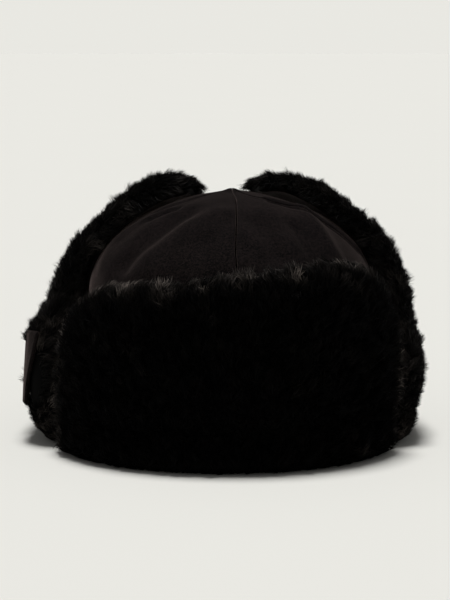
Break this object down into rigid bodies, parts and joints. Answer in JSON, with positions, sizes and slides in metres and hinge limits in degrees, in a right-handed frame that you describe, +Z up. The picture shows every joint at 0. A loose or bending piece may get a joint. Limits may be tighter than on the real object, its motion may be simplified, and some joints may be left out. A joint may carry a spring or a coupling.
{
  "type": "trapper hat",
  "caption": "Wool trapper hat with a rounded crown and turned-up front, ear and neck flaps faced with deep faux fur, open below for the head.",
  "frame": {"origin": "centre of the hat's outline on the surface it stands on", "axes": "+Z up towards the crown's apex; the front flap faces -Y; -X and +X are left and right seen from the front"},
  "size_m": [0.2597, 0.2679, 0.169],
  "materials": {
    "wool": "felted black wool cloth, matt with a soft nap",
    "fur": "deep black faux fur with paler brown-grey hair tips"
  },
  "bodies": {
    "root": {"crown_front_left": "wool", "crown_front_right": "wool", "crown_back_left": "wool", "crown_back_right": "wool", "front_flap_backing": "wool", "front_flap_fur": "fur", "neck_flap_backing": "wool", "neck_flap_fur": "fur", "ear_flap_left_backing": "wool", "ear_flap_left_fur": "fur", "ear_flap_right_backing": "wool", "ear_flap_right_fur": "fur", "ear_flap_left_turned_corner": "wool"}
  },
  "joints": []
}
